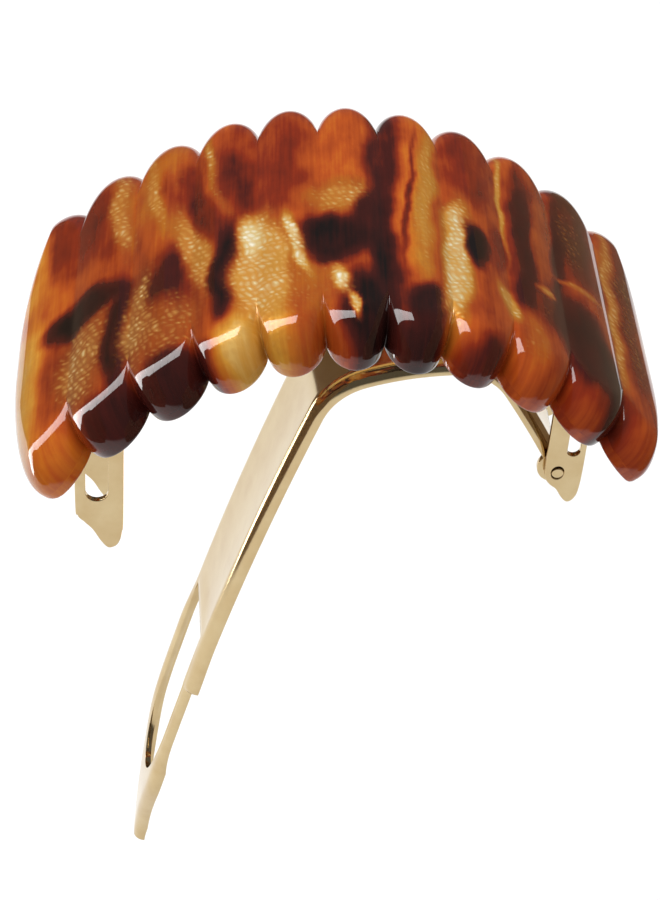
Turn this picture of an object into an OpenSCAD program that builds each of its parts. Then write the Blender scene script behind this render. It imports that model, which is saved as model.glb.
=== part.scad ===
// Hair barrette: a ribbed acetate bow carried by a sprung metal clip.
// The clip's arm hangs from its hinge and snaps its loop over two catch wings; squeezing the wings frees it.
// +X runs towards the hinge, +Y away from the front edge, +Z away from the hair.
// The origin is under the middle of the base bar, where the hair lies.

/* [Arch] */
// Half of the chord over which the arch is measured
arch_half = 33; // [28:0.5:42]
// Drop of the arch over that half chord
arch_drop = 17.6; // [12:0.1:21]

/* [Acetate body] */
// Spacing of the ribs along the chord
rib_pitch = 6.6; // [5.6:0.1:8]
// Number of ribs
rib_count = 11; // [9:2:13]
// Width over the rib tips
body_w = 47.8; // [40:0.1:60]
// How far the rounded end at the catch runs past its outer rib
catch_end_bulge = 4.4; // [2.6:0.1:6]
// How far the rounded end at the hinge runs past its outer rib
hinge_end_bulge = 3; // [2.6:0.1:6]
// Depth of the scallops between rib tips
scallop_depth = 4.4; // [2:0.1:6]
// Height of the rib crests above the edge line
crest_h = 4.2; // [3.6:0.1:6]
// Depth of the soft valleys between ribs
groove_depth = 0.6; // [0.2:0.1:1.2]
// Width of the rounded shoulder along the front and back edges
shoulder_w = 5.5; // [4:0.1:8]
// Thickness of the rounded edge below the edge line
edge_drop = 1.5; // [0.8:0.1:2.2]
// Lean of every rib from its front tip to its back tip
rib_lean = 2; // [0:0.1:3]

/* [Base bar] */
// Length of the base bar along the chord
bar_len = 64; // [56:0.5:68]
// Width of the base bar
bar_w = 11; // [8:0.5:14]
// Thickness of the base bar
bar_t = 0.9; // [0.7:0.05:1.2]

/* [Clip] */
// Outer width of the clasp arm
arm_w = 15.2; // [13:0.1:17]
// Thickness of the clip's sheet metal
sheet_t = 0.8; // [0.6:0.05:1]
// Height of the arm's side flanges at the hinge
flange_root_h = 1.8; // [1.4:0.1:2.2]
// Height of the arm's side flanges at the loop
flange_tip_h = 1.3; // [1:0.1:1.6]
// Where the loop's slot starts, along the arm from the hinge
slot_start = 84; // [81:0.5:84]
// Length of the loop's slot
slot_len = 31; // [26:0.5:34]
// Width of each rail beside the slot
rail_w = 2.4; // [1.8:0.1:3]
// Width of the arm's tip
tip_w = 3.6; // [3:0.1:5]
// Radius of the arm's pivot lugs
lug_r = 0.75; // [0.6:0.05:0.9]

/* [Hinge and catch tabs] */
// Width of each hinge ear
ear_w = 4.7; // [4.4:0.1:5.4]
// Width of each catch wing
wing_w = 6; // [5:0.1:6.4]
// Drop of the hinge pivot below the bar
hinge_drop = 17.82; // [17:0.02:19]
// How far the tips of the catch wings reach below the hinge pivot
wing_reach = 15.8; // [14.4:0.1:17.4]
// How far the tips of the hinge ears reach below the hinge pivot
ear_reach = 4.8; // [3.8:0.1:6.4]

/* [Spring and rivets] */
// Width of the tension spring
spring_w = 6; // [4:0.5:8]
// Thickness of the tension spring
spring_t = 0.4; // [0.3:0.05:0.5]
// How far the tension spring bows away from the bar
spring_bow = 3.2; // [1.5:0.1:4]
// Radius of the rivet shanks
rivet_r = 0.9; // [0.7:0.05:1.1]

/* [Hidden] */
$fn = 32;

// Clearances
seat_gap = 0.03;    // glue film between the bar and the acetate
side_gap = 0.25;    // between the arm's flange and a hinge ear, and between a wing and its rail
lug_gap = 0.05;     // radial running clearance of the pivot lugs
fold_gap = 0.12;    // between a catch wing and the stub that it bends from

// Arch: the underside of the base bar follows this curve
function arch_angle(x) = atan(2 * arch_drop * x / pow(arch_half, 2));
function arch_point(x, off) = [x + off * sin(arch_angle(x)),
                               -arch_drop * pow(x / arch_half, 2) + off * cos(arch_angle(x))];
arch_step = 1.5;
function arch_xs(x0, x1) = concat(
    [x0], [for (i = [floor(x0 / arch_step) + 1:ceil(x1 / arch_step) - 1]) i * arch_step], [x1]);
function backwards(list) = [for (i = [len(list) - 1:-1:0]) list[i]];
function arch_strip(x0, x1, low, high) = concat(
    [for (x = arch_xs(x0, x1)) arch_point(x, low)],
    [for (x = backwards(arch_xs(x0, x1))) arch_point(x, high)]);

// Side view outline (X, Z) made into a solid of a given width along Y, centred at y
module side_slab(width, y = 0) {
    translate([0, y, 0])
        rotate([90, 0, 0])
            linear_extrude(height = width, center = true)
                children();
}

// Places children on the arch at x, with their Z along its normal
module on_arch(x, off = 0) {
    place = arch_point(x, off);
    translate([place[0], 0, place[1]])
        rotate([0, arch_angle(x), 0])
            children();
}

// ---- Acetate body ----
rib_half = (rib_count - 1) / 2;
rib_cuts = 10;             // sections in each rib
rib_sweep = 76;            // half angle of a rib's crest curve
cap_cuts = 8;              // sections in each rounded end
cap_sweep = 80;
ring_points = 36;
pad_h = bar_t + seat_gap;  // underside of the body over the bar

// Each station is [x, share of the full half width, share of the groove, share of the full height]
function groove_share(a) = (1 - cos(a)) / (1 - cos(rib_sweep));
function rib_station(k, j) = let (a = rib_sweep * j / (rib_cuts / 2))
    [k * rib_pitch + rib_pitch / 2 * sin(a) / sin(rib_sweep), 1, groove_share(a), 1];
function cap_station(side, j) = let (a = cap_sweep * j / cap_cuts)
    [side * (rib_half * rib_pitch + (side < 0 ? catch_end_bulge : hinge_end_bulge) * sin(a)),
     pow(cos(a), 0.8), 0, pow(cos(a), 0.6)];
stations = concat(
    [for (j = [cap_cuts:-1:1]) cap_station(-1, j)],
    [for (i = [0:rib_cuts * (rib_count - 1)])
        let (k = floor((i + rib_cuts / 2) / rib_cuts)) rib_station(k - rib_half, i - k * rib_cuts)],
    [for (j = [1:cap_cuts]) cap_station(1, j)]);

// The section has a level middle and an elliptical shoulder at each edge; the shoulders meet in the rounded ends
level_turn = 70;           // where along a quarter of the ring the shoulder meets the level middle
function shoulder_turn(q) = 90 * min(1, q / level_turn);
function ring_y(half, q, cap) = let (round_w = min(half, shoulder_w + (half - shoulder_w) * cap))
    q < level_turn ? half - round_w * (1 - cos(shoulder_turn(q)))
                   : (half - round_w) * (90 - q) / (90 - level_turn);
function valley(groove) = groove_depth * (1 - pow(1 - groove, 2));
function top_h(sn, groove) = (crest_h - valley(groove)) * sn;
function under_h(sn) = min(pad_h, (pad_h + 0.6) * pow(sn, 2)
                           - edge_drop * pow(min(1, sn / 0.35), 0.6) * (1 - sn * sn));
function ring(st) = [for (i = [0:ring_points - 1])
    let (t = 360 * i / ring_points,
         q = min(abs(t % 180), 180 - abs(t % 180)),
         half = (body_w / 2 - scallop_depth * st[2]) * st[1],
         cap = sqrt(1 - st[1] * st[1]),
         y = (t < 90 || t > 270 ? 1 : -1) * ring_y(half, q, cap),
         sn = sin(shoulder_turn(q)),
         off = st[3] * (t <= 180 ? top_h(sn, st[2]) : under_h(sn)),
         p = arch_point(st[0] + rib_lean * y / body_w, off))
    [p[0], y, p[1]]];

module acetate_body() {
    last = len(stations) - 1;
    points = [for (st = stations) each ring(st)];
    sides = [for (r = [0:last - 1], i = [0:ring_points - 1])
        let (a = r * ring_points + i,
             b = r * ring_points + (i + 1) % ring_points,
             c = b + ring_points,
             d = a + ring_points)
        each [[a, b, c], [a, c, d]]];
    starts = [for (i = [1:ring_points - 2]) [0, i + 1, i]];
    tail = last * ring_points;
    ends = [for (i = [1:ring_points - 2]) [tail, tail + i, tail + i + 1]];
    color("sienna")
        polyhedron(points = points, faces = concat(sides, starts, ends), convexity = 6);
}

// ---- Base bar and rivets ----
rivet_x = 29.2;
rivet_grip = 1.2;         // length of shank inside the acetate
rivet_head_r = 1.6;
rivet_head_h = 0.5;
head_gap = 0.06;          // sagitta of the curved sheet over a flat head

module rivet_holes(clear) {
    for (x = [-rivet_x, rivet_x])
        on_arch(x)
            cylinder(h = 8, r = rivet_r + clear, center = true);
}

module base_bar() {
    color("burlywood")
        difference() {
            side_slab(bar_w)
                polygon(arch_strip(-bar_len / 2, bar_len / 2, 0, bar_t));
            rivet_holes(0.02);
        }
}

// Each rivet clamps what lies under the bar, so its head sits under that stack
module rivet(x, stack) {
    on_arch(x) {
        translate([0, 0, -stack - head_gap])
            cylinder(h = stack + head_gap + bar_t + rivet_grip, r = rivet_r);
        translate([0, 0, -stack - head_gap - rivet_head_h])
            cylinder(h = rivet_head_h, r = rivet_head_r);
    }
}

module mounting_rivets() {
    color("goldenrod") {
        rivet(-rivet_x, sheet_t);
        rivet(rivet_x, sheet_t + spring_t);
    }
}

// ---- Clasp arm ----
// The arm's path runs from the hinge up and over, then down to the tip: [length, turn] of each arc
hinge_x = 27;
hinge = [hinge_x, arch_point(hinge_x, 0)[1] - hinge_drop];
arm_start = [hinge[0] + 0.3, hinge[1] + 1.4, 118];
arm_arcs = [[12.8, 4.5], [9, 59.5], [11.4, 17], [9, 52], [50, 5.5], [14, 0.5], [24, 10.5]];
arm_len = arc_total(len(arm_arcs) - 1);
arm_step = 3;
heel_r = 2.4;              // round heel of the flanges at the hinge
slot_corner = 1.2;         // fillet at the slot's inner corners
taper_lead = 5;            // how far before the slot's end the arm starts to narrow
cut_h = 14;                // height of the cutting shapes, well through the sheet
loop_y = arm_w / 2 - rail_w;
lug_reach = side_gap + sheet_t + 0.1;

function arc_total(i) = arm_arcs[i][0] + (i > 0 ? arc_total(i - 1) : 0);
function arc_end(q, len, turn) = let (chord = abs(turn) < 0.01 ? len : len * sin(turn / 2) / (turn * PI / 360))
    [q[0] + chord * cos(q[2] + turn / 2), q[1] + chord * sin(q[2] + turn / 2), q[2] + turn];
function arm_at(s, q = arm_start, i = 0) =
    s <= arm_arcs[i][0] || i == len(arm_arcs) - 1
        ? arc_end(q, s, arm_arcs[i][1] * s / arm_arcs[i][0])
        : arm_at(s - arm_arcs[i][0], arc_end(q, arm_arcs[i][0], arm_arcs[i][1]), i + 1);
function arm_side(s, off) = let (q = arm_at(s)) [q[0] + off * sin(q[2]), q[1] - off * cos(q[2])];
function flange_h(s) = flange_root_h + (flange_tip_h - flange_root_h) * min(1, s / slot_start);

module arm_web() {
    side_slab(arm_w)
        polygon(concat(
            [for (s = [0:arm_step:arm_len]) arm_side(s, 0)],
            [for (s = [arm_len:-arm_step:0]) arm_side(s, -sheet_t)]));
}

module arm_flange(side) {
    mid = side * (arm_w / 2 - sheet_t / 2);
    side_slab(sheet_t, mid)
        polygon(concat(
            [for (s = [0:arm_step:arm_len]) arm_side(s, 0)],
            [for (s = [arm_len:-arm_step:0]) arm_side(s, -flange_h(s))]));
    translate([hinge[0], mid, hinge[1]])
        rotate([90, 0, 0])
            cylinder(h = sheet_t, r = heel_r, center = true);
    translate([hinge[0], side * (arm_w / 2 + lug_reach / 2 - 0.2), hinge[1]])
        rotate([90, 0, 0])
            cylinder(h = lug_reach + 0.4, r = lug_r, center = true);
}

// Children lie in the arm's face at s: X along the arm, Z out of its outer face
module on_arm(s) {
    q = arm_at(s);
    translate([q[0], 0, q[1]])
        rotate([0, -q[2], 0])
            rotate([180, 0, 0])
                children();
}

// The slot is square at its inner end, with small corner fillets, and round at its outer end
module slot_prism() {
    on_arm(slot_start + slot_len / 2)
        translate([0, 0, -cut_h / 2])
            linear_extrude(height = cut_h) {
                translate([slot_corner - slot_len / 2, -loop_y])
                    square([slot_len - slot_corner - loop_y, 2 * loop_y]);
                translate([-slot_len / 2, slot_corner - loop_y])
                    square([slot_corner + 1, 2 * (loop_y - slot_corner)]);
                for (side = [-1, 1])
                    translate([slot_corner - slot_len / 2, side * (loop_y - slot_corner)])
                        circle(r = slot_corner);
                translate([slot_len / 2 - loop_y, 0])
                    circle(r = loop_y);
            }
}

// Cuts the arm's end down to its narrow tip
module tip_cut() {
    taper = arm_len - slot_start - slot_len + taper_lead;
    on_arm(arm_len)
        for (side = [-1, 1])
            translate([0, 0, -cut_h / 2])
                linear_extrude(height = cut_h)
                    polygon([[-taper, side * (arm_w / 2)], [-taper / 2, side * (arm_w * 0.4)],
                             [-2, side * (tip_w / 2 + 0.8)], [0.5, side * (tip_w / 2 - 0.6)],
                             [2, side * (arm_w / 2 + 1)], [-taper, side * (arm_w / 2 + 1)]]);
}

module clasp_arm() {
    color("wheat")
        difference() {
            union() {
                arm_web();
                arm_flange(-1);
                arm_flange(1);
            }
            slot_prism();
            tip_cut();
        }
}

// ---- Hinge bracket ----
ear_left = hinge[0] - 1.6;
ear_right = ear_left + ear_w;
ear_y = arm_w / 2 + side_gap + sheet_t / 2;
plate_x0 = ear_left + 0.6;
plate_x1 = bar_len / 2 - 0.6;
hinge_stack = spring_t;
ear_low = hinge[1] - ear_reach;
ear_shoulder = 2.6;        // height of an ear's shoulder above its tip
ear_window_rise = 2.8;     // how far an ear's window stands above the hinge
ear_window_w = 1.6;
ear_window_h = 7;

// A rounded tab: shoulder on the left, tip on the right, its top cut along the arch
tab_r = 1.4;               // rounding of the shoulder and the tip
tip_in = 0.5;              // how far the tip stands in from the tab's right side
module tab_outline(left, right, low, shoulder, top_off) {
    side_low = low + shoulder + 4;
    difference() {
        hull() {
            translate([left, side_low])
                square([right - left, -side_low]);
            translate([left + tab_r, low + shoulder + tab_r])
                circle(r = tab_r);
            translate([right - tip_in - tab_r, low + tab_r])
                circle(r = tab_r);
        }
        polygon(concat([for (x = [left - 9:3:right + 9]) arch_point(x, -top_off)],
                       [[right + 9, 20], [left - 9, 20]]));
    }
}

// A slot-like window with a square top and a round bottom
module d_window(x, bottom, wide, high) {
    translate([x, bottom + wide / 2])
        circle(r = wide / 2);
    translate([x - wide / 2, bottom + wide / 2])
        square([wide, high - wide / 2]);
}

module hinge_ear(side) {
    side_slab(sheet_t, side * ear_y)
        difference() {
            tab_outline(ear_left, ear_right, ear_low, ear_shoulder, hinge_stack);
            translate(hinge)
                circle(r = lug_r + lug_gap);
            d_window(ear_left + ear_w * 0.68, hinge[1] + ear_window_rise, ear_window_w, ear_window_h);
        }
}

module hinge_bracket() {
    color("wheat")
        difference() {
            union() {
                side_slab(2 * ear_y - sheet_t / 2)
                    polygon(arch_strip(plate_x0, plate_x1, -hinge_stack - sheet_t, -hinge_stack));
                hinge_ear(-1);
                hinge_ear(1);
            }
            rivet_holes(0.02);
        }
}

// ---- Catch ----
wing_left = -32.2;
wing_right = wing_left + wing_w;
wing_y = loop_y - side_gap - sheet_t / 2;
stub_h = 2.4;              // how far the fixed stubs reach under the bar
fold_h = stub_h + fold_gap;
wing_low = hinge[1] - wing_reach;
wing_shoulder = 3.6;       // height of a wing's shoulder above its tip
wing_window_rise = 8;      // how far a wing's window stands above its tip
wing_window_w = 2.8;
wing_window_h = 10;
dimple_r = 1.1;
dimple_out = 0.15;
dimple_in = 1.6;           // how far the dimple stands in from the wing's right side
dimple_rise = 9.4;         // and above its tip

module catch_bracket() {
    color("wheat")
        difference() {
            union() {
                side_slab(2 * wing_y + sheet_t)
                    polygon(arch_strip(wing_left, wing_right, -sheet_t, 0));
                for (side = [-1, 1])
                    side_slab(sheet_t, side * wing_y)
                        polygon(arch_strip(wing_left, wing_right, -stub_h, 0));
            }
            rivet_holes(0.02);
        }
}

module catch_wing(side) {
    color("wheat") {
        side_slab(sheet_t, side * wing_y)
            difference() {
                tab_outline(wing_left, wing_right, wing_low, wing_shoulder, fold_h);
                d_window(wing_left + wing_w * 0.45, wing_low + wing_window_rise, wing_window_w, wing_window_h);
            }
        // pressed dimple that the loop's rail clicks past
        translate([wing_right - dimple_in, side * (wing_y + sheet_t / 2), wing_low + dimple_rise])
            rotate([90, 0, 0])
                cylinder(h = 2 * dimple_out, r = dimple_r, center = true);
    }
}

// ---- Tension spring ----
spring_x0 = -21;
spring_x1 = plate_x1;
spring_fold = plate_x0 - 0.8;  // where the leaf leaves the bar
spring_lift = 0.3;             // gap that its free end keeps from the bar
function spring_off(x) = x >= spring_fold ? 0
    : let (u = (spring_fold - x) / (spring_fold - spring_x0))
      spring_bow * pow(sin(180 * u), 2) + spring_lift * u;

module tension_spring() {
    line = arch_xs(spring_x0, spring_x1);
    color("lightgoldenrodyellow")
        difference() {
            side_slab(spring_w)
                polygon(concat(
                    [for (x = line) arch_point(x, -spring_off(x) - spring_t)],
                    [for (x = backwards(line)) arch_point(x, -spring_off(x))]));
            rivet_holes(0.02);
        }
}

acetate_body();
base_bar();
catch_bracket();
catch_wing(-1);  // catch_wing_front
catch_wing(1);  // catch_wing_back
hinge_bracket();
clasp_arm();
tension_spring();
mounting_rivets();
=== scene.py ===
import math
import bpy
import numpy as np
from mathutils import Matrix, Vector, noise


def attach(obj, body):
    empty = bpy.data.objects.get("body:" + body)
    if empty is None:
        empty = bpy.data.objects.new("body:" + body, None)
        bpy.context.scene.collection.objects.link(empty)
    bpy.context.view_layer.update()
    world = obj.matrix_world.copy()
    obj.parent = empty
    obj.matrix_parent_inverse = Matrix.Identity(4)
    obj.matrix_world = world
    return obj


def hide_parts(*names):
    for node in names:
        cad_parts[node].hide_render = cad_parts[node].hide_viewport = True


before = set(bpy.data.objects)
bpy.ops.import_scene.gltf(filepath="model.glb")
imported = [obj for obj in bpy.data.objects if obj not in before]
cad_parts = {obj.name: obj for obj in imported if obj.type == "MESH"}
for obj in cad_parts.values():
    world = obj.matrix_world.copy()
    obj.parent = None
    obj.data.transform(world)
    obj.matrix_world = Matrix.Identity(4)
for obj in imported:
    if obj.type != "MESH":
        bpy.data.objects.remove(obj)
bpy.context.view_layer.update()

mm = 0.001


def hexColour(code):
    # sRGB hex to the linear values that the shaders use
    out = []
    for i in (1, 3, 5):
        c = int(code[i:i + 2], 16) / 255
        out.append(c / 12.92 if c <= 0.04045 else ((c + 0.055) / 1.055) ** 2.4)
    return (*out, 1.0)


def addNode(tree, kind, links=None, sockets=None, stops=(), **settings):
    # links: input name or number -> output socket; sockets: input name or number -> value;
    # stops: places and hex colours of a ramp, from its first
    node = tree.nodes.new(kind)
    for name, value in settings.items():
        setattr(node, name, value)
    for name, value in (sockets or {}).items():
        node.inputs[name].default_value = value
    for name, source in (links or {}).items():
        tree.links.new(source, node.inputs[name])
    if stops:
        elements = node.color_ramp.elements
        elements.remove(elements[-1])
        elements[0].position = stops[0][0]
        elements[0].color = hexColour(stops[0][1])
        for place, code in stops[1:]:
            elements.new(place).color = hexColour(code)
    return node


def newMaterial(name):
    mat = bpy.data.materials.new(name)
    mat.use_nodes = True
    mat.node_tree.nodes.clear()
    return mat, mat.node_tree


def smoothStep(a, b, x):
    # 0 before a and 1 after b, eased at both ends
    t = np.clip((x - a) / (b - a), 0, 1)
    return t * t * (3 - 2 * t)


def newPiece(name, points, faces, mat):
    mesh = bpy.data.meshes.new(name)
    mesh.from_pydata([tuple(p) for p in points], [], faces)
    mesh.materials.append(mat)
    mesh.shade_smooth()
    obj = bpy.data.objects.new(name, mesh)
    bpy.context.collection.objects.link(obj)
    return obj


def bevelEdges(obj, width, segments=3, angle=35):
    bevel = obj.modifiers.new("bevel", "BEVEL")
    bevel.width = width
    bevel.segments = segments
    bevel.limit_method = "ANGLE"
    bevel.angle_limit = math.radians(angle)
    bevel.harden_normals = False
    weighted = obj.modifiers.new("weighted", "WEIGHTED_NORMAL")
    weighted.weight = 80


def gridFaces(rows, cols, wrap):
    # quads of a grid of points, rows after each other; wrap closes each row
    faces = []
    for r in range(rows - 1):
        for c in range(cols if wrap else cols - 1):
            a = r * cols + c
            b = r * cols + (c + 1) % cols
            faces.append((a, b, b + cols, a + cols))
    return faces


arch = {"half": 33.0, "drop": 17.6}


def archAngle(x):
    return np.arctan(2 * arch["drop"] * x / arch["half"] ** 2)


def archPoint(x, off):
    a = archAngle(x)
    return x + off * np.sin(a), -arch["drop"] * (x / arch["half"]) ** 2 + off * np.cos(a)


def sweepOnArch(name, xs, section, mat, lift=None):
    # section: closed outline of (y, off) points; lift(x) moves it off the arch
    points = []
    for x in xs:
        add = lift(x) if lift else 0
        for y, off in section:
            px, pz = archPoint(x, off + add)
            points.append((px * mm, y * mm, pz * mm))
    count = len(section)
    faces = gridFaces(len(xs), count, True)
    last = (len(xs) - 1) * count
    faces.append(tuple(range(count)))
    faces.append(tuple(last + i for i in reversed(range(count))))
    return newPiece(name, points, faces, mat)


def flatSection(width, low, high, steps=10):
    # outline of a flat strip, with points along its width so that the sweep stays even
    ys = np.linspace(-width / 2, width / 2, steps + 1)
    return [(y, low) for y in ys] + [(y, high) for y in ys[::-1]]


# Cellulose acetate sheet, laminated over a pearl flake, cut, heat bent and polished in tumbling barrels:
# deep tortoiseshell colour under a clear mirror gloss, with the flake showing as rows of fine gold dashes.
acetate = {
    "tones": [(0.0, "#EDC470"), (0.16, "#DC9C38"), (0.32, "#C4701F"), (0.46, "#A94A18"),
              (0.6, "#7C2710"), (0.76, "#421510"), (1.0, "#140C0B")],
    "pearls": [(0.0, "#2E170D"), (0.25, "#7E4A1C"), (0.5, "#BF8E45"), (0.75, "#DCC58E"), (1.0, "#F8F1DC")],
    "dashWide": 0.8,        # mm across one flake dash
    "dashLong": 0.95,       # mm from row to row
    "dashTone": 0.42,       # how much paler than its ground a dash is
    "threadWide": 0.42,     # mm between the fine lengthwise threads, as coarse as they need to be to show
    "threadTone": 0.14,
    "cloudSize": 4.0,       # mm
    "cloudTone": 0.3,
    "pearlCloud": 0.45,     # how much the clouds stir the pearl
    "flakeCover": 0.85,     # how far the flake hides the ground colour
    "flakeMetal": 0.35,     # the flake's share of metallic glint
    "roughness": 0.3,
    "refraction": 1.49,
}


def celluloseAcetate():
    mat, tree = newMaterial("polishedCelluloseAcetate")
    tone = addNode(tree, "ShaderNodeAttribute", attribute_name="tone")
    pearl = addNode(tree, "ShaderNodeAttribute", attribute_name="pearl")
    sheet = addNode(tree, "ShaderNodeAttribute", attribute_name="sheet")     # mm across the ribs, along them

    # lengthwise threads, and clouds where the colours were folded into each other
    threadPlace = addNode(tree, "ShaderNodeVectorMath", {0: sheet.outputs["Vector"]},
                          {1: (1 / acetate["threadWide"], 0.12, 0.3)}, operation="MULTIPLY")
    thread = addNode(tree, "ShaderNodeTexNoise", {"Vector": threadPlace.outputs[0]},
                     {"Scale": 1.0, "Detail": 2.0, "Roughness": 0.5})
    cloudStretch = (1.6 / acetate["cloudSize"], 0.7 / acetate["cloudSize"], 0.3)
    cloudPlace = addNode(tree, "ShaderNodeVectorMath", {0: sheet.outputs["Vector"]}, {1: cloudStretch},
                         operation="MULTIPLY")
    cloud = addNode(tree, "ShaderNodeTexNoise", {"Vector": cloudPlace.outputs[0]},
                    {"Scale": 1.0, "Detail": 3.0, "Roughness": 0.5})
    threadPart = addNode(tree, "ShaderNodeMath", {0: thread.outputs["Fac"]}, {1: 0.5}, operation="SUBTRACT")
    cloudPart = addNode(tree, "ShaderNodeMath", {0: cloud.outputs["Fac"]}, {1: 0.5}, operation="SUBTRACT")
    toneThread = addNode(tree, "ShaderNodeMath", {0: threadPart.outputs[0], 2: tone.outputs["Fac"]},
                         {1: acetate["threadTone"]}, operation="MULTIPLY_ADD")
    toneAll = addNode(tree, "ShaderNodeMath", {0: cloudPart.outputs[0], 2: toneThread.outputs[0]},
                      {1: acetate["cloudTone"]}, operation="MULTIPLY_ADD", use_clamp=True)
    base = addNode(tree, "ShaderNodeValToRGB", {"Fac": toneAll.outputs[0]}, stops=acetate["tones"])

    # flake dashes in staggered, wavering rows
    waver = addNode(tree, "ShaderNodeTexNoise", {"Vector": sheet.outputs["Vector"]},
                    {"Scale": 0.35, "Detail": 1.0})
    wavered = addNode(tree, "ShaderNodeVectorMath", {0: waver.outputs["Color"], 2: sheet.outputs["Vector"]},
                      {1: (1.6, 2.4, 0.0)}, operation="MULTIPLY_ADD")
    across = addNode(tree, "ShaderNodeVectorMath", {0: wavered.outputs[0]},
                     {1: (1 / acetate["dashWide"], 0.5 / acetate["dashLong"], 0.0)}, operation="DOT_PRODUCT")
    lengthways = addNode(tree, "ShaderNodeVectorMath", {0: wavered.outputs[0]},
                         {1: (0.0, 1 / acetate["dashLong"], 0.0)}, operation="DOT_PRODUCT")
    lattice = addNode(tree, "ShaderNodeCombineXYZ",
                      {"X": across.outputs["Value"], "Y": lengthways.outputs["Value"]})
    dashes = addNode(tree, "ShaderNodeTexVoronoi", {"Vector": lattice.outputs[0]},
                     {"Scale": 1.0, "Randomness": 0.35}, distance="EUCLIDEAN")
    shine = addNode(tree, "ShaderNodeMapRange", {"Value": dashes.outputs["Distance"]},
                    {"From Min": 0.05, "From Max": 0.55, "To Min": 1.0, "To Max": 0.0})
    # each dash catches the light a little differently
    spark = addNode(tree, "ShaderNodeTexNoise", {"Vector": lattice.outputs[0]},
                    {"Scale": 0.9, "Detail": 2.0, "Roughness": 0.7})
    sparkPart = addNode(tree, "ShaderNodeMapRange", {"Value": spark.outputs["Fac"]},
                        {"From Min": 0.35, "From Max": 0.7, "To Min": 0.3, "To Max": 1.0})
    dashShine = addNode(tree, "ShaderNodeMath", {0: shine.outputs[0], 1: sparkPart.outputs[0]},
                        operation="MULTIPLY")
    pearlTone = addNode(tree, "ShaderNodeMath", {0: dashShine.outputs[0], 2: pearl.outputs["Fac"]},
                        {1: acetate["dashTone"]}, operation="MULTIPLY_ADD")
    pearlCloud = addNode(tree, "ShaderNodeMath", {0: cloudPart.outputs[0], 2: pearlTone.outputs[0]},
                         {1: acetate["pearlCloud"]}, operation="MULTIPLY_ADD")
    pearlShift = addNode(tree, "ShaderNodeMath", {0: pearlCloud.outputs[0]}, {1: 0.2},
                         operation="SUBTRACT", use_clamp=True)
    pearlColour = addNode(tree, "ShaderNodeValToRGB", {"Fac": pearlShift.outputs[0]},
                          stops=acetate["pearls"])
    # a little flake shows only in its dashes, and much of it covers the ground colour
    pearlMask = addNode(tree, "ShaderNodeMath", {0: pearl.outputs["Fac"], 1: dashShine.outputs[0]},
                        operation="MULTIPLY")
    pearlWeight = addNode(tree, "ShaderNodeMath", {0: pearl.outputs["Fac"], 2: pearlMask.outputs[0]},
                          {1: acetate["flakeCover"]}, operation="MULTIPLY_ADD", use_clamp=True)
    colour = addNode(tree, "ShaderNodeMix", {0: pearlWeight.outputs[0], 6: base.outputs[0],
                                             7: pearlColour.outputs[0]}, data_type="RGBA")
    metal = addNode(tree, "ShaderNodeMath", {0: pearlWeight.outputs[0]}, {1: acetate["flakeMetal"]},
                    operation="MULTIPLY")
    bump = addNode(tree, "ShaderNodeBump", {"Height": dashes.outputs["Distance"]},
                   {"Strength": 0.15, "Distance": 0.2 * mm})
    shader = addNode(tree, "ShaderNodeBsdfPrincipled",
                     {"Base Color": colour.outputs[2], "Metallic": metal.outputs[0],
                      "Normal": bump.outputs[0]},
                     {"Roughness": acetate["roughness"], "Specular IOR Level": 0.0, "Coat Weight": 1.0,
                      "Coat Roughness": 0.02, "Coat IOR": acetate["refraction"]})
    addNode(tree, "ShaderNodeOutputMaterial", {"Surface": shader.outputs[0]})
    return mat


# Steel clip parts, plated with pale gold: a metal mirror with faint lengthwise polishing lines, in which
# slow clouds run to a deeper gold. Each finish: face colour, deep colour, roughness.
goldFinishes = {
    # pressed and barrel polished: mirror bright
    "polishedGoldPlatedSteel": ("#CFB98F", "#A67C40", 0.1),
    # rolled and tempered: a deeper gold, a little softer
    "temperedGoldPlatedSpringSteel": ("#DDBF86", "#B98A48", 0.14),
    # upset by a punch: the softest shine
    "headedGoldPlatedRivet": ("#D9BA80", "#A87B3C", 0.2),
}
polish = {"grain": 0.12, "stretch": 12, "cloudSize": 4.545}    # mm, length of a line in widths, mm


def goldPlate(name):
    face, deep, roughness = goldFinishes[name]
    mat, tree = newMaterial(name)
    place = addNode(tree, "ShaderNodeTexCoord")
    fine = 1 / (polish["grain"] * mm)
    slow = fine / polish["stretch"]
    lines = addNode(tree, "ShaderNodeMapping", {"Vector": place.outputs["Object"]},
                    {"Scale": (slow, fine, slow)})
    grain = addNode(tree, "ShaderNodeTexNoise", {"Vector": lines.outputs[0]},
                    {"Scale": 1.0, "Detail": 2.0, "Roughness": 0.5})
    cloud = addNode(tree, "ShaderNodeTexNoise", {"Vector": place.outputs["Object"]},
                    {"Scale": 1 / (polish["cloudSize"] * mm), "Detail": 3.0, "Roughness": 0.6})
    tint = addNode(tree, "ShaderNodeMapRange", {"Value": cloud.outputs["Fac"]},
                   {"From Min": 0.35, "From Max": 0.8, "To Min": 0.0, "To Max": 0.35})
    colour = addNode(tree, "ShaderNodeMix", {0: tint.outputs[0]},
                     {6: hexColour(face), 7: hexColour(deep)}, data_type="RGBA")
    rough = addNode(tree, "ShaderNodeMapRange", {"Value": grain.outputs["Fac"]},
                    {"To Min": roughness * 0.75, "To Max": roughness * 1.4})
    bump = addNode(tree, "ShaderNodeBump", {"Height": grain.outputs["Fac"]},
                   {"Strength": 0.03, "Distance": 0.05 * mm})
    shader = addNode(tree, "ShaderNodeBsdfPrincipled",
                     {"Base Color": colour.outputs[2], "Roughness": rough.outputs[0],
                      "Normal": bump.outputs[0]},
                     {"Metallic": 1.0})
    addNode(tree, "ShaderNodeOutputMaterial", {"Surface": shader.outputs[0]})
    return mat


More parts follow.
